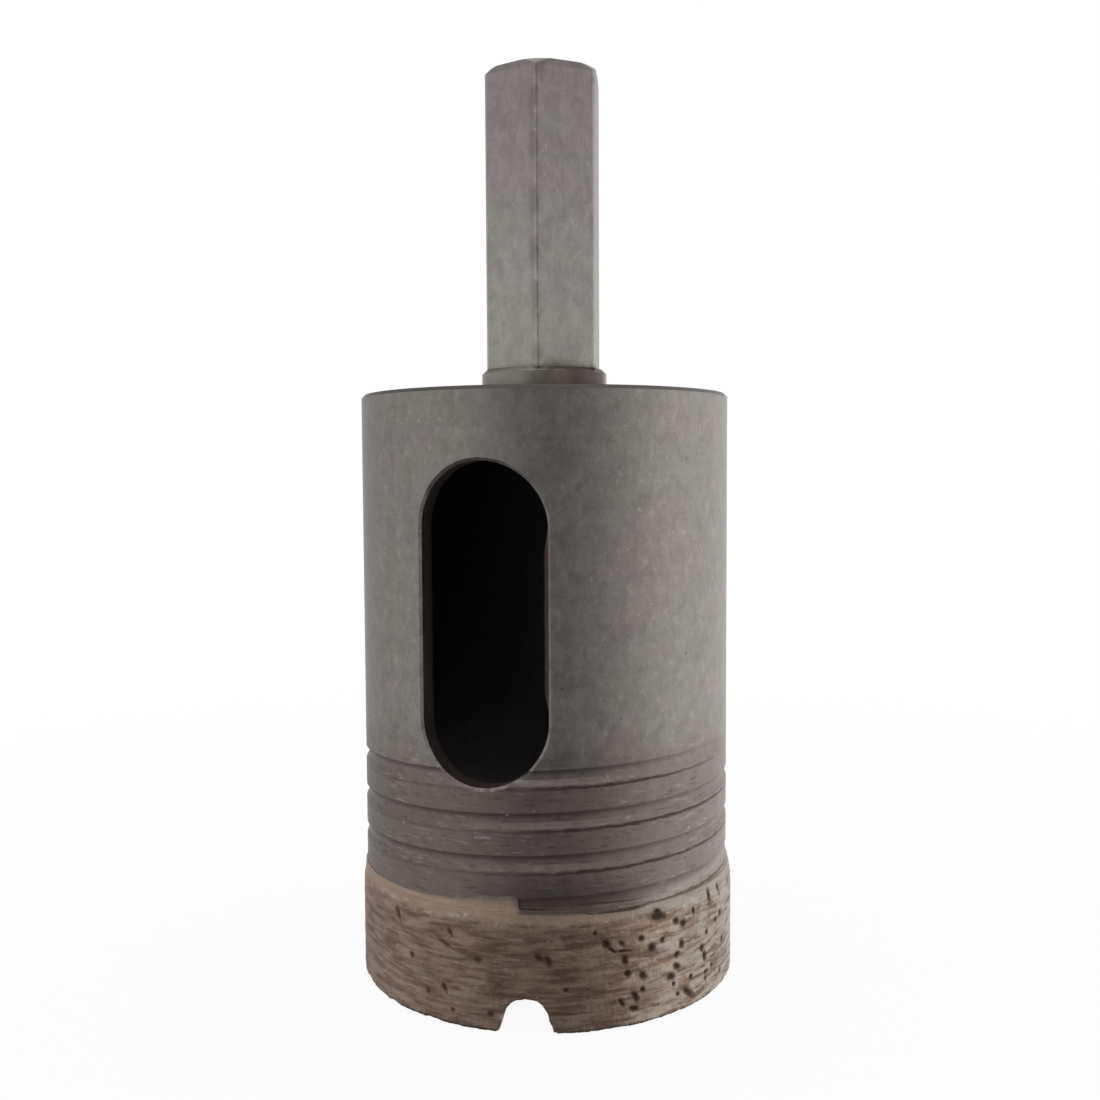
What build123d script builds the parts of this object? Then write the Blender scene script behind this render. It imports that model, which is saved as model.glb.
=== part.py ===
from build123d import *
import os

# Diamond core bit: a turned cup with a slug window and a spiral relief groove, a sintered
# crown bonded to its rim, and a hexagon shank pressed and welded through its plate.
# It stands on the crown, +Z runs up the axis to the shank, and the window faces -Y.
# Sizes are in mm and degrees.

# Crown
crown_d = 35.0               # cutting diameter
crown_wall = 2.9
crown_height = 10.5
shoulder_height = 2.4        # part that curves in to meet the cup
shoulder_step = 0.1          # left standing out of the cup all round
rim_wear = 0.3               # bedded-in cutting edges
notch_count = 3
notch_width = 4.55           # water notch at the cutting face, before its lips are rounded
notch_height = 2.95
notch_draft = 73.0           # slope of the notch sides
notch_arch_round = 1.6
notch_lip_round = 0.3

# Cup
kerf_clearance = 0.5         # cup inside the cut, all round
core_clearance = 0.2         # cup outside the core, all round
plate_top = 53.6             # height of the cup's outer top face
plate_thickness = 3.6
body_edge_break = 0.3
ceiling_corner = 1.4         # left by the boring tool
tongue_share = 0.45          # of the cup's wall, for the ring that keys the crown to it
tongue_depth = 2.0

# Slug window
window_width = 11.2
window_height = 27.1
window_middle = 33.95
window_deburr = 0.25

# Spiral relief groove, one right-hand start
groove_pitch = 3.55
groove_mouth = 1.3           # width at the cup's surface
groove_floor = 0.8
groove_depth = 0.28
groove_proud = 0.3           # how far the cutter stands out of the surface
groove_turns = 3.23
groove_lead = 0.22           # height of its lower end above the crown
groove_start_turn = 280.7    # direction of its lower end, from +X

# Shank
hex_flats = 10.0
hex_corner_round = 0.4
shank_top = 83.0
end_face_d = 10.4            # turned end, before the flats are milled
end_chamfer = 0.65
collar_d = 11.65             # round stock left below the flats
collar_height = 2.4
collar_bevel = 0.4
spigot_d = 8.0
spigot_stick_out = 1.8       # below the plate, inside the cup
spigot_chamfer = 0.4
weld_leg = 1.3
weld_throat = 0.8            # swell of the bead along each leg
drive_turn = 12.7            # hexagon corners and water notches share this direction, from -Y

seat_gap = 0.02              # all round, between faces that are pressed or bonded together

crown_r = crown_d / 2
crown_bore_r = crown_r - crown_wall
body_r = crown_r - kerf_clearance
body_bore_r = crown_bore_r + core_clearance
shoulder_r = body_r + shoulder_step
spigot_r = spigot_d / 2
collar_r = collar_d / 2
ceiling = plate_top - plate_thickness
tongue_middle_r = (body_r + body_bore_r) / 2
tongue_half = (body_r - body_bore_r) * tongue_share / 2
tongue_outer_r = tongue_middle_r + tongue_half
tongue_inner_r = tongue_middle_r - tongue_half
tongue_tip = crown_height - tongue_depth
groove_start = crown_height + groove_lead
drive_direction = drive_turn - 90


def on_cup_surface(edge):
    middle = edge @ 0.5
    return abs(Vector(middle.X, middle.Y).length - body_r) < seat_gap


# Cup, turned from bar
with BuildPart() as cup_body:
    with BuildSketch(Plane.XZ):
        with BuildLine():
            Polyline(
                (spigot_r + seat_gap, plate_top),
                (body_r, plate_top),
                (body_r, crown_height),
                (tongue_outer_r, crown_height),
                (tongue_outer_r, tongue_tip),
                (tongue_inner_r, tongue_tip),
                (tongue_inner_r, crown_height),
                (body_bore_r, crown_height),
                (body_bore_r, ceiling),
                (spigot_r + seat_gap, ceiling),
                close=True,
            )
        make_face()
        corners = vertices()
        chamfer(corners.sort_by_distance((body_r, plate_top))[0], body_edge_break)
        chamfer(corners.sort_by_distance((body_bore_r, ceiling))[0], ceiling_corner)
    revolve(axis=Axis.Z)

    # slug window, milled in from the side, with its outer edge broken
    with BuildSketch(Plane.XZ):
        with Locations((0, window_middle)):
            SlotOverall(window_height, window_width, rotation=90)
    extrude(amount=crown_d, mode=Mode.SUBTRACT)
    chamfer(edges(Select.LAST).filter_by(on_cup_surface), window_deburr)

    # spiral groove: its upper wall is square, its lower wall slopes out to the surface
    with BuildLine(mode=Mode.PRIVATE) as spiral_line:
        Helix(
            groove_pitch, groove_pitch * groove_turns, body_r,
            center=(0, 0, groove_start),
        )
    spiral = spiral_line.edge().rotate(Axis.Z, groove_start_turn)
    outwards = Vector(1, 0, 0).rotate(Axis.Z, groove_start_turn)
    with BuildSketch(Plane(origin=spiral @ 0, x_dir=outwards, z_dir=-(spiral % 0))):
        with BuildLine():
            Polyline(
                (groove_proud, groove_mouth / 2),
                (-groove_depth, groove_mouth / 2),
                (-groove_depth, groove_mouth / 2 - groove_floor),
                (0, -groove_mouth / 2),
                (groove_proud, -groove_mouth / 2),
                close=True,
            )
        make_face()
    sweep(path=spiral, is_frenet=True, mode=Mode.SUBTRACT)

# Sintered crown, keyed over the cup's tongue
with BuildPart() as diamond_crown:
    with BuildSketch(Plane.XZ):
        with BuildLine():
            shoulder = TangentArc(
                (crown_r, crown_height - shoulder_height), (shoulder_r, crown_height),
                tangent=(0, 1),
            )
            Polyline(
                shoulder @ 1,
                (tongue_outer_r + seat_gap, crown_height),
                (tongue_outer_r + seat_gap, tongue_tip),
                (tongue_inner_r - seat_gap, tongue_tip),
                (tongue_inner_r - seat_gap, crown_height),
                (crown_bore_r, crown_height),
                (crown_bore_r, 0),
                (crown_r, 0),
                shoulder @ 0,
            )
        make_face()
        chamfer(vertices().group_by(Axis.Y)[0], rim_wear)
    revolve(axis=Axis.Z)

    # water notches, ground through the rim
    for turn in range(notch_count):
        notch_plane = Plane.XZ.rotated((0, 0, drive_turn + turn * 360 / notch_count))
        with BuildSketch(notch_plane):
            Trapezoid(
                notch_width, notch_height, notch_draft,
                align=(Align.CENTER, Align.MIN),
            )
            Rectangle(crown_r, notch_width, align=(Align.CENTER, Align.MAX))
            on_the_face = vertices().filter_by(lambda corner: abs(corner.Y) < seat_gap)
            fillet(on_the_face.sort_by_distance((0, 0))[:2], notch_lip_round)
            fillet(vertices().group_by(Axis.Y)[-1], notch_arch_round)
        extrude(amount=crown_d, mode=Mode.SUBTRACT)

# Shank, milled from round bar
with BuildPart() as hex_shank:
    with BuildSketch(Plane.XY.offset(plate_top)):
        RegularPolygon(hex_flats / 2, 6, major_radius=False, rotation=drive_direction)
        fillet(vertices(), hex_corner_round)
    extrude(amount=shank_top - plate_top)

    # turned free end
    with BuildSketch(Plane.XZ):
        with BuildLine():
            Polyline(
                (0, plate_top),
                (collar_r, plate_top),
                (collar_r, shank_top - end_chamfer),
                (end_face_d / 2, shank_top),
                (0, shank_top),
                close=True,
            )
        make_face()
    revolve(axis=Axis.Z, mode=Mode.INTERSECT)

    # round stock left below the flats, and the spigot through the plate
    with BuildSketch(Plane.XZ):
        with BuildLine():
            Polyline(
                (0, plate_top + collar_height),
                (collar_r, plate_top + collar_height),
                (collar_r, plate_top),
                (spigot_r, plate_top),
                (spigot_r, ceiling - spigot_stick_out),
                (0, ceiling - spigot_stick_out),
                close=True,
            )
        make_face()
        corners = vertices()
        chamfer(corners.sort_by_distance((collar_r, plate_top + collar_height))[0], collar_bevel)
        chamfer(corners.sort_by_distance((spigot_r, ceiling - spigot_stick_out))[0], spigot_chamfer)
    revolve(axis=Axis.Z)

# Weld bead that holds the spigot under the plate
with BuildPart() as shank_weld:
    with BuildSketch(Plane.XZ):
        with BuildLine():
            Polyline(
                (spigot_r + seat_gap, ceiling),
                (spigot_r + seat_gap + weld_leg, ceiling),
                (spigot_r + seat_gap + weld_throat, ceiling - weld_throat),
                (spigot_r + seat_gap, ceiling - weld_leg),
                close=True,
            )
        make_face()
    revolve(axis=Axis.Z)

cup_body.part.label = "cup_body"
diamond_crown.part.label = "diamond_crown"
hex_shank.part.label = "hex_shank"
shank_weld.part.label = "shank_weld"

os.makedirs("parts", exist_ok=True)
export_step(cup_body.part, "parts/cup_body.step")
export_step(diamond_crown.part, "parts/diamond_crown.step")
export_step(hex_shank.part, "parts/hex_shank.step")
export_step(shank_weld.part, "parts/shank_weld.step")
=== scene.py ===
import math
from types import SimpleNamespace

import bmesh
import bpy
import numpy as np
from mathutils import Matrix, Vector, noise


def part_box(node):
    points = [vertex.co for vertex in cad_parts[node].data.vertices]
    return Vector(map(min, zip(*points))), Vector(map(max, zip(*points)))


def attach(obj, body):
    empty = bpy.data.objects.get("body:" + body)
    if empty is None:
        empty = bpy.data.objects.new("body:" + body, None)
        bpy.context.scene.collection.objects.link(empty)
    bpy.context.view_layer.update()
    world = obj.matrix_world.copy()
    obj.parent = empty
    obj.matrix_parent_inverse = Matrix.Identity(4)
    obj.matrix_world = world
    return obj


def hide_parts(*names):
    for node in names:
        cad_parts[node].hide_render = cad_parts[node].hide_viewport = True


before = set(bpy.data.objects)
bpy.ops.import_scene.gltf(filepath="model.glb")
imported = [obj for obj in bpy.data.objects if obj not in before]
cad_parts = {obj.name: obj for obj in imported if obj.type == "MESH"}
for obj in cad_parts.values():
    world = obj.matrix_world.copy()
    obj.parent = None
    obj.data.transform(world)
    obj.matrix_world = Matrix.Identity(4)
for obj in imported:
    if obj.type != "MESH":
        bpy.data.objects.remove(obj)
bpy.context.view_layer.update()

# Looks of the diamond core bit: a satin turned cup, a sintered crown with open pores, and a
# milled hexagon shank. Lengths are in mm, and times MM where Blender takes them in metres.
MM = 0.001

# Camera. Turns are in degrees about the axis, from -Y towards +X.
CAMERA_TURN = 18.7
CAMERA_DISTANCE = 117.1 * MM
CAMERA_HEIGHT = 46.47 * MM
CAMERA_PITCH = 3.5765        # looks down
CAMERA_YAW = 0.22            # looks to the right of the axis
CAMERA_ROLL = -0.29
SENSOR = 36.0
LENS = 40.565
CLIP = (10 * MM, 20.0)
PHOTO_SIDE = 1100
PHOTO_MIDDLE = PHOTO_SIDE / 2
PHOTO_FOCAL = LENS / SENSOR * PHOTO_SIDE

# Room that the metal reflects: (turn from the camera, level), level 1 is white
ROOM = (
    (-180, 1.0), (-145, 0.58), (-100, 0.64), (-60, 0.66), (-34, 0.5), (-14, 0.2), (16, 0.2), (36, 0.4),
    (58, 0.72), (84, 1.08), (150, 1.1), (180, 1.0),
)
ROOM_TOP = 1.15              # level straight above
ROOM_BOTTOM = 0.1
FLOOR_HALF = 3.0
FLOOR_DROP = 0.02 * MM       # below the cutting rim

# Sizes of the solids, read from the frame
crown_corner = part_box("diamond_crown")[1]
CROWN_R = crown_corner.x / MM
CROWN_TOP = crown_corner.z / MM
SHANK_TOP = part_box("hex_shank")[1].z / MM


def tone(red, green, blue):
    """Linear colour of an 8-bit screen colour."""
    return tuple(
        c / 12.92 if c <= 0.04045 else ((c + 0.055) / 1.055) ** 2.4
        for c in (red / 255, green / 255, blue / 255)
    ) + (1.0,)


class Graph:
    """The nodes of one material or world, with a short call for each kind used here."""

    def __init__(self, owner):
        owner.use_nodes = True
        self.tree = owner.node_tree
        self.tree.nodes.clear()

    def add(self, kind, inputs=None, **settings):
        node = self.tree.nodes.new("ShaderNode" + kind)
        for name, value in settings.items():
            setattr(node, name, value)
        for name, value in (inputs or {}).items():
            if isinstance(value, bpy.types.NodeSocket):
                self.tree.links.new(value, node.inputs[name])
            elif value is not None:
                node.inputs[name].default_value = value
        return node

    def math(self, operation, a, b=None):
        return self.add("Math", {0: a, 1: b}, operation=operation).outputs[0]

    def product(self, first, *others):
        for other in others:
            first = self.math("MULTIPLY", first, other)
        return first

    def vector(self, operation, a, b=None):
        node = self.add("VectorMath", {0: a, 1: b}, operation=operation)
        return node.outputs["Value" if operation in ("LENGTH", "DOT_PRODUCT") else "Vector"]

    def place(self):
        """Position in the part's frame, in mm."""
        metres = self.add("TexCoord").outputs["Object"]
        return self.vector("MULTIPLY", metres, (1 / MM,) * 3)

    def split(self, vector):
        return self.add("SeparateXYZ", {0: vector}).outputs[:3]

    def join(self, x, z):
        return self.add("CombineXYZ", {0: x, 2: z}).outputs[0]

    def stretch(self, vector, factors):
        return self.vector("MULTIPLY", vector, factors)

    def apart(self, a, b):
        return self.math("ABSOLUTE", self.math("SUBTRACT", a, b))

    def noise(self, vector, scale=1.0, detail=2.0, roughness=0.5, distortion=0.0):
        return self.add("TexNoise", {
            "Vector": vector, "Scale": scale, "Detail": detail,
            "Roughness": roughness, "Distortion": distortion,
        }).outputs[0]

    def band(self, value, low, high):
        """0 at low and 1 at high, smooth between them."""
        return self.add("MapRange", {
            "Value": value, "From Min": low, "From Max": high,
        }, interpolation_type="SMOOTHSTEP").outputs[0]

    def between(self, value, low, high):
        """Linear from low to high as value goes from 0 to 1."""
        return self.add("MapRange", {"Value": value, "To Min": low, "To Max": high}).outputs[0]

    def moved(self, value, mask, low, high):
        """The value plus low where the mask is 0 and plus high where it is 1."""
        return self.math("ADD", value, self.between(mask, low, high))

    def mix(self, factor, a, b):
        return self.add("Mix", {0: factor, 6: a, 7: b}, data_type="RGBA").outputs[2]

    def paint(self, mask, strength, a, b):
        """Colour b over colour a where the mask is, at a strength from 0 to 1."""
        return self.mix(self.product(mask, strength), a, b)

    def shade(self, colour, mask, low, high):
        """The colour times low where the mask is 0 and times high where it is 1."""
        plain = colour[:3] if isinstance(colour, tuple) else colour
        return self.add("VectorMath", {
            0: plain, "Scale": self.between(mask, low, high)}, operation="SCALE").outputs[0]

    def specks(self, vector, per_mm, share, size):
        """Round spots in a share of the cells of a random grid. Size is a share of a cell."""
        cells = self.add("TexVoronoi", {"Vector": vector, "Scale": per_mm})
        chosen = self.math("GREATER_THAN", self.split(cells.outputs["Color"])[0], 1 - share)
        spot = self.band(cells.outputs["Distance"], size, size * 0.5)
        return self.product(spot, chosen)

    def any_of(self, first, *others):
        """The highest of some masks."""
        for other in others:
            first = self.math("MAXIMUM", first, other)
        return first

    def bump(self, height, depth_mm):
        return self.add("Bump", {"Height": height, "Distance": depth_mm * MM}).outputs[0]

    def surface(self, **sockets):
        shader = self.add("BsdfPrincipled", {
            name.replace("_", " "): value for name, value in sockets.items()})
        self.add("OutputMaterial", {"Surface": shader.outputs[0]})


# ---------------------------------------------------------------- camera, room and floor

def new_object(name, data):
    piece = bpy.data.objects.new(name, data)
    bpy.context.scene.collection.objects.link(piece)
    return piece


def make_camera():
    data = bpy.data.cameras.new("camera")
    data.sensor_width = SENSOR
    data.lens = LENS
    data.clip_start, data.clip_end = CLIP
    camera = new_object("camera", data)
    turn = math.radians(CAMERA_TURN)
    stand = Vector((math.sin(turn), -math.cos(turn), 0)) * CAMERA_DISTANCE
    stand.z = CAMERA_HEIGHT
    camera.matrix_world = (
        Matrix.Translation(stand)
        @ Matrix.Rotation(math.radians(CAMERA_TURN - CAMERA_YAW), 4, "Z")
        @ Matrix.Rotation(math.radians(90 - CAMERA_PITCH), 4, "X")
        @ Matrix.Rotation(math.radians(CAMERA_ROLL), 4, "Z")
    )
    bpy.context.scene.camera = camera
    return camera


def make_room():
    """White where the camera looks and behind the bit, but dim to metal in front and to the left."""
    world = bpy.data.worlds.new("room")
    bpy.context.scene.world = world
    graph = Graph(world)
    direction = graph.add("TexCoord").outputs["Generated"]
    from_camera = graph.add("VectorRotate", {
        "Vector": direction, "Angle": math.radians(90 - CAMERA_TURN),
    }, rotation_type="Z_AXIS").outputs[0]
    x, y, z = graph.split(from_camera)
    turn = graph.math("DIVIDE", graph.math("ARCTAN2", y, x), 2 * math.pi)
    ramp = graph.add("ValToRGB", {0: graph.math("ADD", turn, 0.5)})
    stops = ramp.color_ramp.elements
    stops.remove(stops[1])
    for number, (degrees, level) in enumerate(ROOM):
        stop = stops[0] if number == 0 else stops.new(degrees / 360 + 0.5)
        stop.position = degrees / 360 + 0.5
        stop.color = (level, level, level, 1)
    level = graph.mix(graph.band(z, 0.6, 0.98), ramp.outputs[0], (ROOM_TOP,) * 3 + (1,))
    level = graph.mix(graph.band(z, -0.45, -0.9), level, (ROOM_BOTTOM,) * 3 + (1,))
    rays = graph.add("LightPath").outputs
    behind = graph.product(rays["Is Glossy Ray"], graph.band(x, -0.88, -0.93))
    seen = graph.any_of(rays["Is Camera Ray"], rays["Is Transmission Ray"], behind)
    colour = graph.mix(seen, level, (1, 1, 1, 1))
    light = graph.add("Background", {"Color": colour})
    graph.add("OutputWorld", {"Surface": light.outputs[0]})


def make_floor():
    """A pale floor that glows to the camera, with a trace of the bit's shadow."""
    mesh = bpy.data.meshes.new("floor")
    corners = [(x * FLOOR_HALF, y * FLOOR_HALF, 0) for x, y in ((-1, -1), (1, -1), (1, 1), (-1, 1))]
    mesh.from_pydata(corners, [], [(0, 1, 2, 3)])
    floor = new_object("floor", mesh)
    floor.location.z = -FLOOR_DROP
    material = bpy.data.materials.new("pale_floor")
    mesh.materials.append(material)
    graph = Graph(material)
    away = graph.vector("LENGTH", graph.place())
    paper = graph.add("BsdfDiffuse", {"Color": (0.9, 0.9, 0.9, 1)})
    glow = graph.add("Emission", {"Color": (1, 1, 1, 1)})
    fade = graph.between(graph.band(away, 30.0, 200.0), 0.94, 1.0)
    pale = graph.add("MixShader", {0: fade, 1: paper.outputs[0], 2: glow.outputs[0]})
    clear = graph.add("BsdfTransparent")
    from_above = graph.math("SUBTRACT", 1.0, graph.add("NewGeometry").outputs["Backfacing"])
    seen = graph.product(graph.add("LightPath").outputs["Is Camera Ray"], from_above)
    both = graph.add("MixShader", {0: seen, 1: clear.outputs[0], 2: pale.outputs[0]})
    graph.add("OutputMaterial", {"Surface": both.outputs[0]})


# ---------------------------------------------------------------- cup

# Sizes of the cup, as built
WINDOW_HALF = 5.6            # half width of the slug window
WINDOW_MIDDLE = 33.95
WINDOW_STRAIGHT = 7.95       # half height of its straight sides
BODY_R = 17.0
BORE_R = 14.8
PLATE_TOP = 53.6
GROOVE_PITCH = 3.55
GROOVE_TURNS = 3.23
GROOVE_START = 10.72         # height of its lower end
GROOVE_START_TURN = 280.7    # from +X
GROOVE_MOUTH = 1.3
GROOVE_DEPTH = 0.28


def groove_place(graph, x, y, z):
    """Turns up the groove from its lower end, and the height above its middle line in mm."""
    turn = graph.math("ARCTAN2", y, x)
    around = graph.math("DIVIDE", turn, 2 * math.pi)
    around = graph.math("SUBTRACT", around, GROOVE_START_TURN / 360)
    up = graph.math("DIVIDE", graph.math("SUBTRACT", z, GROOVE_START), GROOVE_PITCH)
    across = graph.math("FRACT", graph.math("ADD", graph.math("SUBTRACT", up, around), 0.5))
    above = graph.math("SUBTRACT", across, 0.5)
    return graph.math("SUBTRACT", up, above), graph.product(above, GROOVE_PITCH)


def to_the_right(graph, x, y):
    """Distance from the axis to the right, as the photograph's camera sees it, in mm."""
    turn = math.radians(CAMERA_TURN)
    return graph.math(
        "ADD", graph.product(x, math.cos(turn)), graph.product(y, math.sin(turn)))


def cup_places(graph):
    """Where a point of the cup is, and the noises that its marks share."""
    place = graph.place()
    x, y, z = graph.split(place)
    return SimpleNamespace(
        place=place, x=x, y=y, z=z, right=to_the_right(graph, x, y), front=graph.band(y, -10, -12),
        radius=graph.vector("LENGTH", graph.stretch(place, (1, 1, 0))),
        cloud=graph.noise(graph.stretch(place, (1, 1, 0.8)), 0.8, 4, 0.62, 0.5),
        rings=graph.noise(graph.stretch(place, (0.12, 0.12, 7)), 1.0, 3, 0.6),
        grain=graph.noise(graph.stretch(place, (1, 1, 1.5)), 4.0, 2, 0.7),
        flecks=graph.noise(graph.stretch(place, (0.42, 0.42, 2.4)), 1.6, 2, 0.6, 0.35),
    )


def satin_steel(graph, at):
    mottle = graph.noise(at.place, 0.2, 3, 0.55)
    scuffs = graph.noise(graph.stretch(at.place, (1, 1, 0.7)), 1.7, 3, 0.65, 0.25)
    steel = graph.mix(graph.band(mottle, 0.35, 0.65), tone(151, 148, 142), tone(154, 147, 143))
    steel = graph.shade(steel, at.cloud, 0.62, 1.38)
    steel = graph.shade(steel, at.rings, 0.93, 1.07)
    steel = graph.shade(steel, at.grain, 0.84, 1.16)
    return graph.shade(steel, graph.band(scuffs, 0.54, 0.7), 0.97, 1.14)


def heated_steel(graph, at):
    """Darker steel with light flecks, as the crown's bonding heat left it, and painted shade on the
    left.
    """
    patches = graph.band(graph.noise(at.place, 0.22, 2, 0.5), 0.46, 0.58)
    steel = graph.shade(tone(136, 126, 121), at.cloud, 0.72, 1.28)
    # painted shade: darker on the left as the camera sees it
    steel = graph.shade(steel, graph.band(at.right, 0.0, -5.0), 1.0, 0.87)
    steel = graph.shade(steel, graph.band(at.flecks, 0.42, 0.3), 1.0, 0.72)
    light = graph.product(graph.band(at.flecks, 0.54, 0.72), graph.between(patches, 0.15, 0.8))
    return graph.mix(light, steel, tone(166, 160, 156))


def groove_marks(graph, at, steel):
    """Painted shade under the groove's upper wall and a little on its lower wall, and a dark line below
    its lip.

    The groove's lower end has painted shade low on the front, a painted highlight on its floor on one
    side and painted shade in its recess at the joint. Returns the steel, the dark line and the recess
    shade.
    """
    along, above = groove_place(graph, at.x, at.y, at.z)
    outside = graph.band(at.radius, BODY_R - 0.5, BODY_R - 0.4)
    ends = graph.band(along, GROOVE_TURNS + 0.01, GROOVE_TURNS - 0.13)
    cut = graph.product(graph.band(along, -0.02, 0.03), ends, outside)
    ragged = graph.moved(above, at.flecks, -0.2, 0.2)
    # painted shade under the groove's upper wall, stronger to the right
    wall_shade = graph.product(
        graph.band(ragged, 0.0, 0.55), graph.band(above, 0.78, 0.62),
        graph.between(graph.band(at.right, 16.0, -2.0), 0.35, 0.6))
    # a little painted shade on the groove's lower wall
    slope = graph.product(graph.band(above, -0.12, -0.2), graph.band(above, -0.68, -0.62))
    line = graph.product(
        graph.band(ragged, -0.72, -0.86), graph.band(ragged, -1.12, -0.94),
        graph.between(graph.band(at.right, -6.0, 6.0), 0.25, 0.8))
    steel = graph.mix(graph.product(cut, wall_shade), steel, tone(52, 43, 39))
    steel = graph.shade(steel, graph.product(cut, slope), 1.0, 0.95)
    line = graph.product(cut, line)
    steel = graph.mix(line, steel, tone(62, 50, 45))

    # painted shade low on the front, where the cup faces the camera
    front_shade = graph.product(
        graph.band(at.z, 14.0, 11.5), graph.band(graph.apart(at.right, 1.5), 9.0, 3.0),
        graph.band(at.y, 0.0, -4.0))
    steel = graph.shade(steel, front_shade, 1.0, 0.68)
    floor = graph.product(graph.band(above, 0.7, 0.6), graph.band(above, -1.4, -1.2), cut)
    # painted highlight on the lower half of the groove's floor, near its lower end
    light = graph.product(
        floor, graph.band(above, 0.1, -0.35), graph.band(along, 0.08, 0.13),
        graph.band(along, 0.3, 0.22))
    steel = graph.shade(steel, light, 1.0, 1.55)
    # painted shade: a dark sheet without metal in the groove's recess at its lower end
    recess_shade = graph.product(floor, graph.band(along, 0.1, 0.03))
    steel = graph.mix(recess_shade, steel, graph.shade(tone(84, 70, 64), at.cloud, 0.85, 1.15))
    return steel, line, recess_shade


def nicks_and_stains(graph, at, steel):
    light = graph.specks(at.place, 0.9, 0.16, 0.16)
    dark = graph.specks(graph.vector("ADD", at.place, (9.0, 4.0, 2.0)), 0.7, 0.1, 0.13)
    steel = graph.paint(light, 0.4, steel, tone(198, 194, 189))
    steel = graph.paint(dark, 0.5, steel, tone(78, 70, 67))
    stain = graph.product(graph.band(at.z, 11.4, 10.4), graph.band(at.cloud, 0.4, 0.6))
    return graph.paint(stain, 0.4, steel, tone(116, 96, 84))


def from_window(graph, at):
    """Distance out of the slug window's outline, in mm."""
    beyond = graph.math("SUBTRACT", graph.apart(at.z, WINDOW_MIDDLE), WINDOW_STRAIGHT)
    across = graph.vector("LENGTH", graph.join(at.x, graph.math("MAXIMUM", beyond, 0)))
    return graph.math("SUBTRACT", across, WINDOW_HALF)


def turned_face(graph, at):
    """The plate's top, stained around the collar, with painted shade on its broken edge."""
    turning = graph.noise(graph.join(at.radius, 0.0), 4.0, 3, 0.6)
    face = graph.shade(tone(140, 136, 132), turning, 0.75, 1.25)
    face = graph.shade(face, at.cloud, 0.8, 1.2)
    face = graph.mix(graph.band(at.radius, 7.6, 6.0), face, tone(92, 82, 76))
    # painted shade on the plate's broken edge
    rim = graph.band(at.radius, BODY_R - 0.36, BODY_R - 0.3)
    return graph.paint(rim, 0.85, face, tone(70, 65, 62))


def shaded_inside(graph, at, window):
    """Painted shade all over the inside, with the window's cut sides lighter."""
    inside_shade = graph.shade(tone(84, 82, 88), at.cloud, 0.7, 1.3)
    side = graph.product(
        graph.band(window, 0.12, 0.04), at.front, graph.band(at.radius, BORE_R, BORE_R + 0.3))
    return graph.mix(side, inside_shade, graph.shade(tone(122, 112, 108), at.cloud, 0.8, 1.2))


def cup_look():
    material = bpy.data.materials.new("cup_steel_look")
    graph = Graph(material)
    at = cup_places(graph)
    heat = graph.band(graph.math("ADD", at.z, graph.product(at.cloud, 4.0)), 29.0, 21.0)
    steel = graph.mix(heat, satin_steel(graph, at), heated_steel(graph, at))
    steel, line, recess_shade = groove_marks(graph, at, steel)
    steel = nicks_and_stains(graph, at, steel)

    # a painted highlight on the window's broken edge, the top, painted shade on the inside, and dirt
    # caked on one side of the window
    window = from_window(graph, at)
    window_highlight = graph.product(
        graph.band(window, 0.4, 0.15), at.front, graph.band(at.cloud, 0.42, 0.6))
    steel = graph.paint(window_highlight, 0.4, steel, tone(184, 178, 172))
    top = graph.band(at.z, PLATE_TOP - 0.34, PLATE_TOP - 0.29)
    steel = graph.mix(top, steel, turned_face(graph, at))
    inside = graph.product(
        graph.band(at.radius, BODY_R - 0.4, BODY_R - 0.6), graph.math("SUBTRACT", 1.0, top))
    steel = graph.mix(inside, steel, shaded_inside(graph, at, window))
    caked = graph.product(
        graph.band(window, 0.05, -0.03), graph.band(at.z, 26.0, 27.0), at.front,
        graph.band(at.x, 4.4, 4.8), graph.band(at.radius, BODY_R - 1.3, BODY_R - 1.2))
    steel = graph.mix(caked, steel, graph.shade(tone(92, 76, 72), at.grain, 0.5, 1.5))

    rough = graph.math("ADD", graph.between(at.cloud, 0.36, 0.5), graph.product(inside, 0.15))
    rough = graph.math("MAXIMUM", rough, graph.product(recess_shade, 0.8))
    height = graph.math("ADD", graph.product(at.rings, 0.7), at.grain)
    height = graph.math("SUBTRACT", height, graph.product(line, 2.5))
    graph.surface(
        Base_Color=steel, Metallic=graph.math("SUBTRACT", 1.0, recess_shade), Roughness=rough,
        Normal=graph.bump(height, 0.012))
    return material


# ---------------------------------------------------------------- shank and weld

COLLAR_TOP = PLATE_TOP + 2.4
SHANK_STAINS = (             # to the right as the camera sees it, height, reach across and up
    (-0.3, 82.2, 0.8, 1.3), (4.6, 81.6, 0.4, 0.4), (-0.9, 79.0, 0.6, 2.4), (-0.9, 75.6, 0.5, 2.2),
    (-0.9, 70.4, 0.6, 2.4), (-0.9, 66.2, 0.5, 2.2), (-0.8, 62.0, 0.5, 3.0), (-0.6, 57.2, 0.7, 1.3),
    (1.6, 56.3, 2.6, 0.7),
)


def brown_stains(graph, right, z, cloud, grain):
    """Stains along the shank's front corner and at both ends."""
    ragged = graph.join(graph.moved(right, cloud, -0.7, 0.7), graph.moved(z, grain, -0.5, 0.5))
    stains = 0.0
    for across, height, wide, tall in SHANK_STAINS:
        away = graph.vector("SUBTRACT", ragged, (across, 0, height))
        away = graph.vector("LENGTH", graph.stretch(away, (1 / wide, 0, 1 / tall)))
        stains = graph.math("MAXIMUM", graph.band(away, 1.1, 0.25), stains)
    return stains


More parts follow.
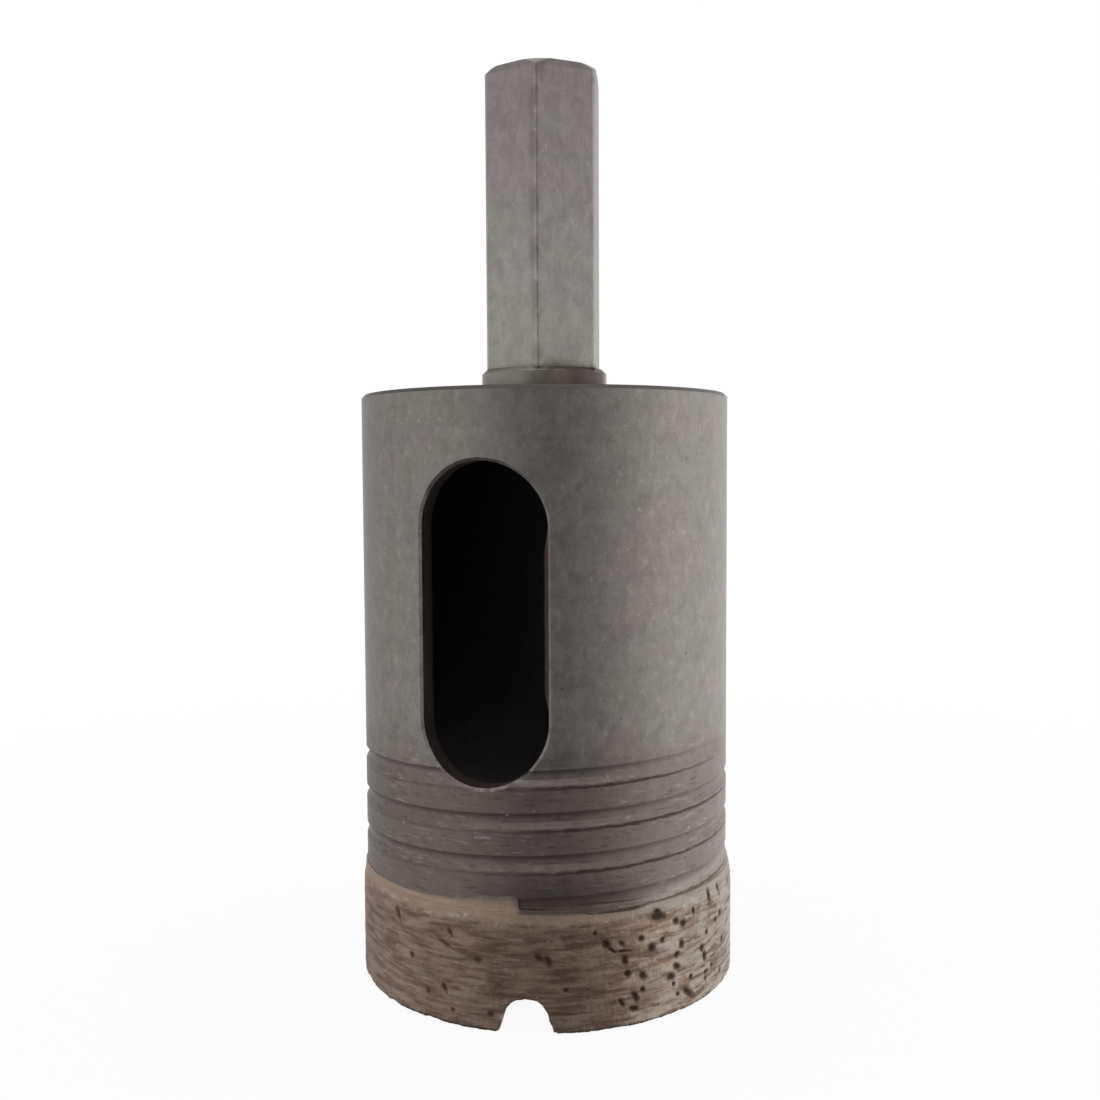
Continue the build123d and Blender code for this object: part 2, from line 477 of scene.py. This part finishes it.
def collar_steel(graph, right, front, height, cloud):
    """The collar: painted light on the left, painted shade on the right and on its bevel."""
    lit = graph.product(graph.band(graph.moved(right, cloud, -0.8, 0.8), 0.6, -1.4), front)
    steel = graph.mix(lit, tone(152, 140, 135), tone(154, 150, 143))
    steel = graph.paint(graph.band(right, 0.8, 3.0), front, steel, tone(92, 84, 80))
    bevel = graph.band(height, COLLAR_TOP - 0.5, COLLAR_TOP - 0.3)
    steel = graph.paint(bevel, graph.between(lit, 0.85, 0.45), steel, tone(70, 61, 57))
    return graph.shade(steel, cloud, 0.75, 1.25)


def shank_look():
    material = bpy.data.materials.new("shank_steel_look")
    graph = Graph(material)
    place = graph.place()
    x, y, z = graph.split(place)
    right = to_the_right(graph, x, y)
    front = graph.band(y, 0.5, -0.5)
    mottle = graph.noise(place, 0.3, 3, 0.6)
    cloud = graph.noise(graph.stretch(place, (1, 1, 0.7)), 0.9, 4, 0.65, 0.5)
    lines = graph.noise(graph.stretch(place, (4.5, 4.5, 0.25)), 1.0, 2, 0.6)
    grain = graph.noise(place, 5.0, 2, 0.7)
    tint = graph.band(graph.moved(z, mottle, -22.0, 22.0), 64.0, 78.0)
    steel = graph.mix(tint, tone(161, 158, 153), tone(161, 153, 153))
    steel = graph.shade(steel, cloud, 0.6, 1.4)
    steel = graph.shade(steel, lines, 0.94, 1.06)
    steel = graph.shade(steel, grain, 0.86, 1.14)
    steel = graph.shade(steel, graph.band(z, 82.0, 56.0), 0.98, 1.22)
    light = graph.specks(graph.stretch(place, (1, 1, 0.7)), 1.0, 0.2, 0.2)
    steel = graph.paint(light, 0.35, steel, tone(200, 196, 190))
    dull = graph.specks(graph.vector("ADD", place, (3.0, 8.0, 5.0)), 0.6, 0.25, 0.22)
    steel = graph.paint(dull, 0.12, steel, tone(106, 98, 94))
    stains = graph.product(brown_stains(graph, right, z, cloud, grain), front)
    steel = graph.paint(stains, 0.34, steel, tone(96, 84, 76))

    # corners rubbed lighter, painted shade on the flat to the right, painted shade on the turned end, a
    # painted shadow line on the collar, and the collar
    radius = graph.vector("LENGTH", graph.stretch(place, (1, 1, 0)))
    steel = graph.shade(steel, graph.band(radius, 5.64, 5.7), 1.0, 1.3)
    # painted shade on the flat to the right
    steel = graph.shade(steel, graph.band(right, 4.4, 4.65), 1.0, 0.7)
    # painted shade on the turned end's chamfer
    end = graph.band(z, SHANK_TOP - 0.66, SHANK_TOP - 0.5)
    steel = graph.paint(end, 0.3, steel, tone(112, 104, 100))
    height = graph.moved(z, cloud, -0.25, 0.25)
    # a painted shadow line along the collar's top, stronger to the right
    line = graph.band(height, COLLAR_TOP + 0.4, COLLAR_TOP)
    strength = graph.between(graph.band(right, -3.0, 0.5), 0.2, 0.5)
    steel = graph.paint(line, strength, steel, tone(78, 69, 64))
    below = graph.band(z, COLLAR_TOP + 0.01, COLLAR_TOP - 0.03)
    steel = graph.mix(below, steel, collar_steel(graph, right, front, height, cloud))
    graph.surface(
        Base_Color=steel, Metallic=1.0, Roughness=graph.between(cloud, 0.34, 0.48),
        Normal=graph.bump(graph.math("ADD", grain, lines), 0.01))
    return material


def weld_look():
    material = bpy.data.materials.new("weld_steel_look")
    graph = Graph(material)
    place = graph.place()
    cloud = graph.noise(place, 1.2, 3, 0.6)
    steel = graph.mix(graph.band(cloud, 0.35, 0.65), tone(84, 78, 76), tone(128, 120, 112))
    graph.surface(
        Base_Color=steel, Metallic=1.0, Roughness=0.45,
        Normal=graph.bump(graph.noise(place, 2.5, 2), 0.06))
    return material


# ---------------------------------------------------------------- crown

SKIN_VOXEL = 0.3             # the outside is then divided once more
SHOULDER_START = 8.1         # height where the outside starts to curve in
SHOULDER_STEP = 0.4          # how far it curves in
FACE_DEPTH = 0.02            # all round, so that grit can stand up to the cutting diameter
STREAK_DEPTH = 0.045
GRAIN_DEPTH = 0.03
SIDE_WEAR = 0.12             # more off the side that is on the left in the photograph
CHIP_DEPTH = 0.25
PIT_DEPTH = 0.12
PIT_SEED = 11

# Pores, trenches and painted glints, from (x, y) to (x, y) and their width, in pixels of the photograph
SEEN_PORES = (
    (655, 917, 662, 917, 9), (658, 913, 659, 913, 7), (676, 921, 677, 921, 6), (683, 923, 684, 924, 7),
    (641, 939, 642, 939, 5), (663, 940, 663, 940, 5), (682, 943, 682, 945, 6),
    (652, 948, 652, 948, 8), (605, 944, 607, 946, 8), (621, 943, 623, 945, 4),
    (609, 949, 616, 953, 3), (619, 952, 629, 951, 3), (625, 960, 625, 962, 7),
    (627, 974, 628, 974, 6), (642, 975, 644, 977, 7), (677, 955, 678, 954, 5),
    (702, 947, 703, 949, 6), (705, 954, 705, 958, 5), (707, 932, 707, 932, 5),
    (694, 909, 694, 913, 3), (710, 892, 710, 899, 5), (719, 886, 719, 889, 4),
    (720, 893, 720, 894, 3), (720, 912, 720, 912, 5), (716, 919, 716, 920, 4),
    (722, 938, 722, 939, 4), (676, 966, 678, 967, 6), (670, 977, 672, 977, 7),
    (691, 977, 691, 977, 5), (707, 971, 706, 972, 4), (712, 965, 712, 965, 5),
    (720, 970, 720, 970, 5), (706, 978, 706, 978, 4), (674, 984, 674, 984, 4),
    (643, 990, 643, 990, 5), (634, 994, 637, 1000, 6), (620, 1001, 623, 1005, 4),
    (632, 1009, 636, 1009, 5), (685, 990, 692, 995, 6), (678, 994, 678, 994, 4),
    (566, 991, 567, 991, 4), (595, 934, 595, 934, 4), (396, 910, 398, 917, 5),
    (448, 930, 450, 934, 4), (440, 941, 449, 947, 3), (411, 955, 411, 955, 5),
    (476, 960, 479, 961, 5), (537, 958, 541, 960, 5), (547, 960, 549, 964, 6),
    (443, 986, 445, 991, 4), (427, 991, 427, 991, 5), (452, 1010, 452, 1010, 4),
    (490, 1015, 491, 1015, 5),
)
SEEN_GLINTS = (
    (422, 912, 431, 913, 2), (447, 915, 457, 916, 3), (463, 916, 465, 916, 4),
    (386, 893, 392, 897, 2), (399, 898, 405, 900, 2), (430, 900, 437, 902, 2),
    (668, 913, 669, 913, 3), (685, 906, 688, 907, 4), (694, 900, 698, 901, 4),
    (588, 1010, 588, 1011, 3), (537, 997, 538, 998, 2), (628, 1013, 638, 1013, 2),
)
FAR = 9.0                    # pore radii, away from every pore
ROUND_PORE = 0.04            # half length up to which a pore counts as round
HIDDEN_PORES = 200           # on the sides that the photograph doesn't show
SEEN_TURNS = (-62.0, 99.0)   # the photograph's share of the outside, from -Y

# The joint, with turns in degrees from -Y. The cup's bare foot starts where the bond flash ends.
FOOT_GROWTH = (11.0, 30.0)   # turns over which it thickens
FOOT_DROP = (0.22, 0.5)      # how far it comes down over the crown, and how far where it is lowest
LOW_TURNS = (24.0, 31.0, 43.0, 50.0)     # it goes down, is lowest, and comes up again
SHADOW_LINE_GROWTH = (32.0, 48.0)   # turns over which the painted shadow line below it starts
RECESS_SHADE_TURNS = (9.75, 11.75, 30.0, 46.0)   # painted shade in the recess starts and fades


def outside_r(z):
    """Radius of the crown's outside at a height."""
    reach = CROWN_TOP - SHOULDER_START
    curve = (reach ** 2 + SHOULDER_STEP ** 2) / (2 * SHOULDER_STEP)
    rise = np.clip(z - SHOULDER_START, 0, reach)
    return CROWN_R - (curve - np.sqrt(curve ** 2 - rise ** 2))


def outside_place(camera, x, y):
    """Turn and height of the point on the crown's outside behind a pixel of the photograph."""
    eye = camera.matrix_world.translation / MM
    ray = camera.matrix_world.to_3x3() @ Vector((
        (x - PHOTO_MIDDLE) / PHOTO_FOCAL, (PHOTO_MIDDLE - y) / PHOTO_FOCAL, -1))
    a = ray.x ** 2 + ray.y ** 2
    b = eye.x * ray.x + eye.y * ray.y
    c = eye.x ** 2 + eye.y ** 2 - CROWN_R ** 2
    hit = eye + ray * ((-b - math.sqrt(max(b * b - a * c, 0))) / a)
    return math.atan2(hit.x, -hit.y), hit.z, (hit - eye).length / PHOTO_FOCAL


def seen_marks(camera, marks):
    """(turn, height, turn, height, radius) of marks given in pixels of the photograph."""
    for x0, y0, x1, y1, width in marks:
        turn, z, mm_per_pixel = outside_place(camera, x0, y0)
        yield turn, z, *outside_place(camera, x1, y1)[:2], width * mm_per_pixel / 2


def hidden_pores():
    pores = []
    rng = np.random.default_rng(PIT_SEED)
    while len(pores) < HIDDEN_PORES:
        degrees = rng.uniform(-180, 180)
        z = rng.uniform(0.6, CROWN_TOP - 0.7)
        r = rng.choice((0.14, 0.18, 0.23, 0.32))
        lean, rise = rng.uniform(-0.02, 0.02), rng.uniform(-0.3, 0.3)
        dense = 0.5 + 0.5 * math.sin(math.radians(degrees * 2 - 60)) > rng.uniform(0, 1)
        if dense and not SEEN_TURNS[0] < degrees < SEEN_TURNS[1]:
            turn = math.radians(degrees)
            pores.append((turn, z, turn + lean, z + rise, r))
    return pores


def reach_from(marks, turns, heights, chosen, ragged):
    """How far each point is from the nearest mark, as a share of the mark's radius."""
    nearest = np.full(len(turns), FAR)
    for turn0, z0, turn1, z1, r in marks:
        across = (np.mod(turns - turn0 + math.pi, 2 * math.pi) - math.pi) * CROWN_R
        up = heights - z0
        run, rise = (turn1 - turn0) * CROWN_R, z1 - z0
        near = chosen & (np.abs(across) < 3 * r + abs(run)) & (np.abs(up) < 3 * r + abs(rise))
        length = max(run * run + rise * rise, 1e-9)
        share = np.clip((across[near] * run + up[near] * rise) / length, 0, 1)
        away = np.hypot(across[near] - share * run, up[near] - share * rise)
        nearest[near] = np.minimum(nearest[near], away / (r * ragged[near]))
    return nearest


def from_seen_pores(graph, camera, place):
    """How far a point is from the nearest seen pore, as a share of the pore's radius.

    The point is first put on the crown's cylinder. A long pore is an ellipsoid around its middle.
    """
    height = graph.split(place)[2]
    outward = graph.vector("NORMALIZE", graph.stretch(place, (1, 1, 0)))
    place = graph.vector("ADD", graph.stretch(outward, (CROWN_R,) * 3), graph.join(0.0, height))
    nearest = FAR
    for turn0, z0, turn1, z1, r in seen_marks(camera, SEEN_PORES):
        start, end = (Vector((math.sin(turn) * CROWN_R, -math.cos(turn) * CROWN_R, z))
                      for turn, z in ((turn0, z0), (turn1, z1)))
        away = graph.vector("SUBTRACT", place, (start + end) / 2)
        half = (end - start).length / 2
        if half > ROUND_PORE:
            axis = (end - start).normalized() * math.sqrt(1 - (r / (r + half)) ** 2)
            along = graph.vector("DOT_PRODUCT", away, axis)
            away = graph.vector("LENGTH", away)
            away = graph.math("SQRT", graph.math(
                "SUBTRACT", graph.product(away, away), graph.product(along, along)))
        else:
            away = graph.vector("LENGTH", away)
        nearest = graph.math("MINIMUM", graph.math("DIVIDE", away, r), nearest)
    return nearest


def field(points, stretch, offset=0.0):
    """Smooth noise from -1 to 1 at each point, with the points stretched first."""
    return np.array([
        noise.noise(Vector(p)) for p in points * np.array(stretch) + offset])


def crown_mesh():
    """The crown's solid, remeshed finely enough on the outside to carry its pores."""
    copy = new_object("crown_copy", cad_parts["diamond_crown"].data.copy())
    remesh = copy.modifiers.new("skin", "REMESH")
    remesh.mode = "VOXEL"
    remesh.voxel_size = SKIN_VOXEL * MM
    depsgraph = bpy.context.evaluated_depsgraph_get()
    mesh = bpy.data.meshes.new_from_object(copy.evaluated_get(depsgraph))
    bpy.data.objects.remove(copy)

    body = bmesh.new()
    body.from_mesh(mesh)
    chosen = set()
    for face in body.faces:
        if face.calc_center_median().xy.length > (CROWN_R - 0.6) * MM:
            chosen.update(face.edges)
    bmesh.ops.subdivide_edges(body, edges=list(chosen), cuts=1, use_grid_fill=True)
    body.to_mesh(mesh)
    body.free()
    return mesh


def crown_wear(camera, points, facing):
    """Depth of wear at each point in mm, and the values there that the crown's look reads."""
    heights = points[:, 2]
    turns = np.arctan2(points[:, 0], -points[:, 1])
    skin = (facing > 0.3) & (np.hypot(points[:, 0], points[:, 1]) > CROWN_R - 1.0)
    streak = field(points, (0.3, 0.3, 2.0)) + 0.35 * field(points, (0.8, 0.8, 4.6), 7.0)
    streak = np.clip(streak * 1.3 + 0.12, 0, 1)
    grain = field(points, (2.6, 2.6, 3.4), 3.0) + 0.6 * field(points, (5.0, 5.0, 6.0), 5.0)
    chips = np.clip(field(points, (0.7, 0.7, 0.7), 21.0) - 0.25, 0, 1)
    chips = chips * np.clip(1 - heights / 0.8, 0, 1)
    depth = FACE_DEPTH + STREAK_DEPTH * streak + GRAIN_DEPTH * np.clip(grain + 0.4, 0, 1.4)
    depth = depth + CHIP_DEPTH * chips
    left = np.cos(turns - math.radians(CAMERA_TURN - 90))
    depth = depth + np.where(skin, SIDE_WEAR * (0.5 + 0.5 * left), 0)
    depth = np.where(skin, depth * np.clip((CROWN_TOP - heights) / 0.9, 0.2, 1), depth)

    ragged = 1 + 0.45 * field(points, (1.9, 1.9, 1.9), 31.0) + 0.3 * field(points, (4, 4, 4), 37.0)
    smooth = np.ones(len(points))
    hidden = reach_from(hidden_pores(), turns, heights, skin, ragged)
    seen = reach_from(seen_marks(camera, SEEN_PORES), turns, heights, skin, smooth)
    # distance from the painted glints
    from_glints = reach_from(seen_marks(camera, SEEN_GLINTS), turns, heights, skin, ragged)
    depth = depth + PIT_DEPTH * np.clip(1.15 - np.minimum(hidden, seen), 0, 1) ** 0.7
    pore, glint = np.clip(1.9 - hidden, 0, 1.9) / 1.9, np.clip(1.5 - 1.2 * from_glints, 0, 1)
    return depth, {"pore": pore, "streak": streak, "glint": glint}


def worn_crown(camera, material):
    mesh = crown_mesh()
    flat = np.empty(len(mesh.vertices) * 3)
    mesh.vertices.foreach_get("co", flat)
    points = flat.reshape(-1, 3) / MM
    mesh.vertices.foreach_get("normal", flat)
    normals = flat.reshape(-1, 3)

    # true up the outside after the remesh
    radii = np.hypot(points[:, 0], points[:, 1])
    outward = points[:, :2] / radii[:, None]
    facing = (normals[:, :2] * outward).sum(1)
    heights = points[:, 2]
    on_outside = (facing > 0.8) & (radii > CROWN_R - 0.75) & (heights > 0.35)
    points[on_outside, :2] = outward[on_outside] * outside_r(heights[on_outside])[:, None]

    # wear it, with nothing out of the cutting diameter or below the cutting face
    depth, values = crown_wear(camera, points, facing)
    points = points - normals * depth[:, None]
    radii = np.hypot(points[:, 0], points[:, 1])
    points[:, :2] *= np.minimum(1, CROWN_R / radii)[:, None]
    points[:, 2] = np.clip(points[:, 2], 0, CROWN_TOP)
    mesh.vertices.foreach_set("co", (points * MM).ravel())
    for name, numbers in values.items():
        mesh.attributes.new(name, "FLOAT", "POINT").data.foreach_set("value", numbers.astype(np.float32))
    mesh.shade_smooth()
    mesh.update()
    mesh.materials.clear()
    mesh.materials.append(material)

    crown = new_object("worn_crown", mesh)
    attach(crown, "root")
    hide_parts("diamond_crown")


def crown_places(graph):
    """Where a point of the crown is, and the noises that its marks share."""
    place = graph.place()
    x, y, z = graph.split(place)
    return SimpleNamespace(
        place=place, x=x, y=y, z=z, right=to_the_right(graph, x, y),
        fine=graph.noise(graph.stretch(place, (0.3, 0.3, 1.9)), 1.2, 3, 0.6, 0.25),
        cloud=graph.noise(place, 0.4, 3, 0.6, 0.5),
        mottle=graph.noise(graph.stretch(place, (1, 1, 1.7)), 1.5, 3, 0.65, 0.6),
        grain=graph.noise(place, 4.0, 2, 0.7),
    )


def tan_skin(graph, at, streak):
    """Streaked tan rubbed bare to grey in patches, with painted highlights on its sides, most on the
    right, and along the top.
    """
    tan = graph.mix(graph.band(at.fine, 0.32, 0.66), tone(120, 97, 85), tone(164, 142, 126))
    tan = graph.shade(tan, at.mottle, 0.84, 1.16)
    tan = graph.shade(tan, at.grain, 0.8, 1.2)
    tan = graph.paint(streak, 0.42, tan, tone(98, 78, 68))
    # painted highlight: more bare grey on the right side as the camera sees it
    lit_side = graph.product(graph.band(at.right, 4.0, 13.0), graph.band(at.y, 12.0, 4.0))
    bare = graph.product(
        graph.band(graph.moved(at.cloud, lit_side, 0.0, 0.22), 0.54, 0.7),
        graph.band(at.fine, 0.36, 0.56), graph.between(streak, 1.0, 0.45),
        graph.between(lit_side, 0.3, 0.85))
    tan = graph.mix(bare, tan, tone(178, 169, 159))
    # painted light: lighter away from the middle as the camera sees it
    tan = graph.shade(tan, graph.band(graph.apart(at.right, 1.0), 3.0, 15.0), 1.0, 1.14)
    # painted highlight on a band to the right at the front
    right_highlight = graph.product(
        graph.band(at.right, 4.5, 7.5), graph.band(at.right, 12.5, 9.5),
        graph.band(at.y, 0.0, -3.0))
    tan = graph.shade(tan, right_highlight, 1.0, 1.3)
    # painted highlight along the shoulder at the top, in lit copies of the tan
    top = graph.band(graph.moved(at.z, at.mottle, -0.5, 0.5), 8.9, 9.6)
    light = graph.mix(graph.band(at.right, 4.0, 9.0), tone(190, 167, 148), tone(176, 168, 159))
    return graph.paint(top, 0.7, tan, graph.shade(light, at.mottle, 0.8, 1.2))


def glints_and_pores(graph, at, camera, pore, glint, tan):
    """Grit specks with painted glints, the pores that the photograph shows and the hidden ones."""
    specks = graph.specks(at.place, 1.4, 0.1, 0.2)
    # lighter grit specks and painted glints
    shine = graph.math("MAXIMUM", graph.product(specks, 0.5), glint)
    shine = graph.product(shine, graph.band(at.grain, 0.3, 0.6))
    tan = graph.paint(shine, 0.75, tan, tone(214, 208, 200))
    frayed = graph.between(graph.noise(at.place, 3.0, 2, 0.6), 0.45, 1.55)
    away = graph.product(from_seen_pores(graph, camera, at.place), frayed)
    rim = graph.math("MAXIMUM", graph.band(pore, 0.15, 0.5), graph.band(away, 1.75, 1.05))
    # dark pore cores: painted shade in the pits, stronger to the right
    core = graph.math("MAXIMUM", graph.band(pore, 0.56, 0.9), graph.band(away, 1.1, 0.55))
    tan = graph.paint(rim, 0.7, tan, tone(112, 87, 73))
    strength = graph.between(graph.band(at.right, -5.0, 5.0), 0.55, 0.85)
    return graph.paint(core, strength, tan, tone(50, 37, 32))


def crown_joint(graph, at, tan):
    """A painted shadow line below the cup's foot and painted shade under the groove's end. Also returns
    the shade.
    """
    turn = graph.product(
        graph.math("ARCTAN2", at.x, graph.product(at.y, -1.0)), math.degrees(1.0))
    drop = graph.product(graph.band(turn, *LOW_TURNS[:2]), graph.band(turn, *LOW_TURNS[:1:-1]))
    below = graph.moved(graph.math("SUBTRACT", at.z, CROWN_TOP), drop, *FOOT_DROP)
    # a painted shadow line below the cup's foot
    shadow_line = graph.product(graph.band(below, -0.16, -0.05), graph.band(turn, *SHADOW_LINE_GROWTH))
    tan = graph.paint(shadow_line, 0.6, tan, tone(92, 74, 65))
    edge = graph.moved(at.z, at.mottle, -0.08, 0.08)
    # painted shade over the crown's top edge under the groove's recess
    recess_shade = graph.product(
        graph.band(turn, *RECESS_SHADE_TURNS[:2]), graph.band(turn, *RECESS_SHADE_TURNS[:1:-1]),
        graph.band(edge, CROWN_TOP - 0.62, CROWN_TOP - 0.22))
    return graph.mix(recess_shade, tan, tone(80, 68, 63)), recess_shade


def crown_look(camera):
    material = bpy.data.materials.new("crown_matrix_look")
    graph = Graph(material)
    at = crown_places(graph)
    pore, streak, glint, fade = (
        graph.add("Attribute", attribute_name=name).outputs["Fac"]
        for name in ("pore", "streak", "glint", "fade"))
    tan = tan_skin(graph, at, streak)
    tan = glints_and_pores(graph, at, camera, pore, glint, tan)
    # painted shade along the bottom rim
    tan = graph.paint(graph.band(at.z, 0.5, 0.1), 0.6, tan, tone(70, 58, 54))
    tan, recess_shade = crown_joint(graph, at, tan)

    # the flash fades into the cup's heated steel
    fade = graph.band(graph.moved(fade, at.mottle, -0.5, 0.5), 0.2, 1.0)
    tan = graph.mix(fade, tan, tone(136, 126, 121))
    graph.surface(
        Base_Color=tan, Metallic=graph.between(recess_shade, 0.8, 0.0),
        Roughness=graph.between(at.cloud, 0.46, 0.6),
        Normal=graph.bump(graph.math("ADD", at.fine, at.grain), 0.04))
    return material


# ---------------------------------------------------------------- small pieces on the cup

FLASH_RISE = (               # (turn in degrees from -Y, height over the crown)
    (-112, 0.0), (-45, 0.06), (-33, 0.2), (-25, 0.2), (-18, 0.3), (-10, 0.45), (-4, 0.66),
    (0, 0.95), (8.9, 1.05), (9.8, 0.95), (10.3, 0.75), (10.6, 0.45), (10.75, 0.1),
)
RUNOUT_TURNS = 0.055         # how much of the groove's last turn comes up
DIRT_LOW, DIRT_HIGH = 26.6, 42.4         # heights of the dirt's ends
SHARP_ANGLE = 40             # degrees


def swept(name, sections, material, slot, **values):
    """A closed piece through sections of (turn in degrees from -Y, radius, height) points.

    Each of the values is a list of one number for each point of each section.
    """
    ring = len(sections[0])
    vertices = [
        (r * math.sin(math.radians(t)) * MM, -r * math.cos(math.radians(t)) * MM, z * MM)
        for section in sections for t, r, z in section]
    faces = [
        (i * ring + j, i * ring + (j + 1) % ring, (i + 1) * ring + (j + 1) % ring, (i + 1) * ring + j)
        for i in range(len(sections) - 1) for j in range(ring)]
    faces += [tuple(reversed(range(ring))), tuple(range(len(vertices) - ring, len(vertices)))]
    mesh = bpy.data.meshes.new(name)
    mesh.from_pydata(vertices, [], faces)
    body = bmesh.new()
    body.from_mesh(mesh)
    bmesh.ops.recalc_face_normals(body, faces=body.faces)
    body.to_mesh(mesh)
    body.free()
    for attribute, numbers in values.items():
        mesh.attributes.new(attribute, "FLOAT", "POINT").data.foreach_set("value", numbers)
    mesh.shade_smooth()
    mesh.set_sharp_from_angle(angle=math.radians(SHARP_ANGLE))
    mesh.materials.append(material)
    piece = new_object(name, mesh)
    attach(piece, "root")


def bond_flash(material):
    """Bond metal squeezed out of the joint and up over the cup's foot."""
    turns, heights = zip(*FLASH_RISE)
    sections, fades = [], []
    for turn in np.linspace(turns[0], turns[-1], 520):
        wave = noise.noise(Vector((turn * 0.3, 4.0, 0))) + 0.4 * noise.noise(Vector((turn, 9.0, 0)))
        rise = float(np.interp(turn, turns, heights))
        rise = max(0.03, rise + 0.12 * wave * min(1, rise / 0.3))
        top = CROWN_TOP + rise
        sections.append([(turn, r, z) for r, z in (
            (BODY_R - 0.1, CROWN_TOP - 0.4), (BODY_R - 0.1, top - 0.03), (BODY_R + 0.003, top),
            (BODY_R + 0.015, top - rise * 0.2), (BODY_R + 0.03, top - rise * 0.55),
            (BODY_R + 0.055, CROWN_TOP + 0.04), (BODY_R + 0.08, CROWN_TOP - 0.02),
            (outside_r(CROWN_TOP - 0.2) - 0.01, CROWN_TOP - 0.2), (BODY_R, CROWN_TOP - 0.4))])
        end = float(np.interp(turn, (turns[-1] - 2.5, turns[-1]), (0, 0.6)))
        fades += [min(1, fade + end) for fade in (0, 1, 1, 0.75, 0.3, 0, 0, 0, 0)]
    swept("bond_flash", sections, material, "crown_matrix", fade=fades, streak=[0.35] * len(fades))


def foot_fillet(material):
    """The cup's foot where no bond metal covers it, drawn down over the crown's top edge."""
    sections = []
    for turn in np.linspace(FOOT_GROWTH[0], 360 + FLASH_RISE[0][0], 500):
        wave = noise.noise(Vector((turn * 0.2, 17.0, 0)))
        drop = float(np.interp(turn, LOW_TURNS, (0, 1, 1, 0)))
        low = CROWN_TOP - FOOT_DROP[0] - (FOOT_DROP[1] - FOOT_DROP[0]) * drop + 0.05 * wave
        # the groove's lower end takes the cup's wall back here
        groove = GROOVE_START + (turn - GROOVE_START_TURN + 270) / 360 * GROOVE_PITCH
        top = CROWN_TOP + 0.3
        inside = float(np.clip((top - groove + GROOVE_MOUTH / 2) / 0.25, 0, 1))
        wall = BODY_R - GROOVE_DEPTH * inside
        growth = float(np.interp(turn, FOOT_GROWTH, (0, 1)))
        back = wall - 0.1
        profile = (
            (back, top + 0.01), (wall - 0.02, top + 0.01), (BODY_R + 0.01, CROWN_TOP + 0.06),
            (BODY_R + 0.06, CROWN_TOP - 0.04), (outside_r(low + 0.08) + 0.015, low + 0.08),
            (outside_r(low) - 0.04, low), (back, low))
        sections.append([
            (turn, back + (r - back) * growth, CROWN_TOP + (z - CROWN_TOP) * growth)
            for r, z in profile])
    swept("foot_fillet", sections, material, "cup_steel")


def window_dirt(material):
    """Dirt caked along the right side of the slug window."""
    sections = []
    for share in np.linspace(0, 1, 60):
        z = DIRT_LOW + (DIRT_HIGH - DIRT_LOW) * share
        wave = noise.noise(Vector((z * 0.5, 2.0, 0)))
        thick = 0.01 + (0.44 + 0.05 * wave) * min(1, share * 9, (1 - share) * 7)
        sections.append([(math.degrees(math.asin(x / r)), r, z) for x, r in (
            (WINDOW_HALF + 0.02, BODY_R - 0.27), (WINDOW_HALF - thick * 0.7, BODY_R - 0.36),
            (WINDOW_HALF - thick, BODY_R - 0.6), (WINDOW_HALF - thick * 0.6, BODY_R - 1.0),
            (WINDOW_HALF + 0.02, BODY_R - 1.1))])
    swept("window_dirt", sections, material, "cup_steel")


def groove_runout(material):
    """The groove's floor coming up to the surface at its upper end."""
    sections = []
    half = GROOVE_MOUTH / 2 + 0.005
    for share in np.linspace(0, 1, 25):
        turns = GROOVE_TURNS - RUNOUT_TURNS * (1 - share) + 0.0004
        turn = GROOVE_START_TURN + 90 + turns * 360
        middle = GROOVE_START + turns * GROOVE_PITCH
        rise = share * share * (3 - 2 * share)
        r = BODY_R - GROOVE_DEPTH - 0.02 + (GROOVE_DEPTH + 0.018) * rise
        sections.append([(turn, a, middle + b) for a, b in (
            (BODY_R - 0.5, half), (r, half), (r, 0.0), (r, -0.3), (r, -half), (BODY_R - 0.5, -half))])
    swept("groove_runout", sections, material, "cup_steel")


# ---------------------------------------------------------------- dressing

SHANK_EDGE = 0.12            # width of its broken edges
EDGE_ANGLE = 28              # degrees, from which an edge is broken
WELD_REACH = 0.002 * MM      # joins the export's doubled corners first


def dress(node, material, edge_mm=0.0):
    """The solid's node keeps its shape and takes a new material. An edge size breaks its edges."""
    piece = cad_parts[node]
    for slot in piece.material_slots:
        slot.material = material
    if edge_mm:
        join = piece.modifiers.new("join", "WELD")
        join.merge_threshold = WELD_REACH
        edges = piece.modifiers.new("edges", "BEVEL")
        edges.width = edge_mm * MM
        edges.segments = 2
        edges.limit_method = "ANGLE"
        edges.angle_limit = math.radians(EDGE_ANGLE)


bpy.context.scene.view_settings.view_transform = "Standard"
camera = make_camera()
make_room()
make_floor()
cup_material, crown_material = cup_look(), crown_look(camera)
dress("cup_body", cup_material)
dress("hex_shank", shank_look(), SHANK_EDGE)
dress("shank_weld", weld_look())
worn_crown(camera, crown_material)
bond_flash(crown_material)
foot_fillet(cup_material)
window_dirt(cup_material)
groove_runout(cup_material)

bpy.context.view_layer.update()
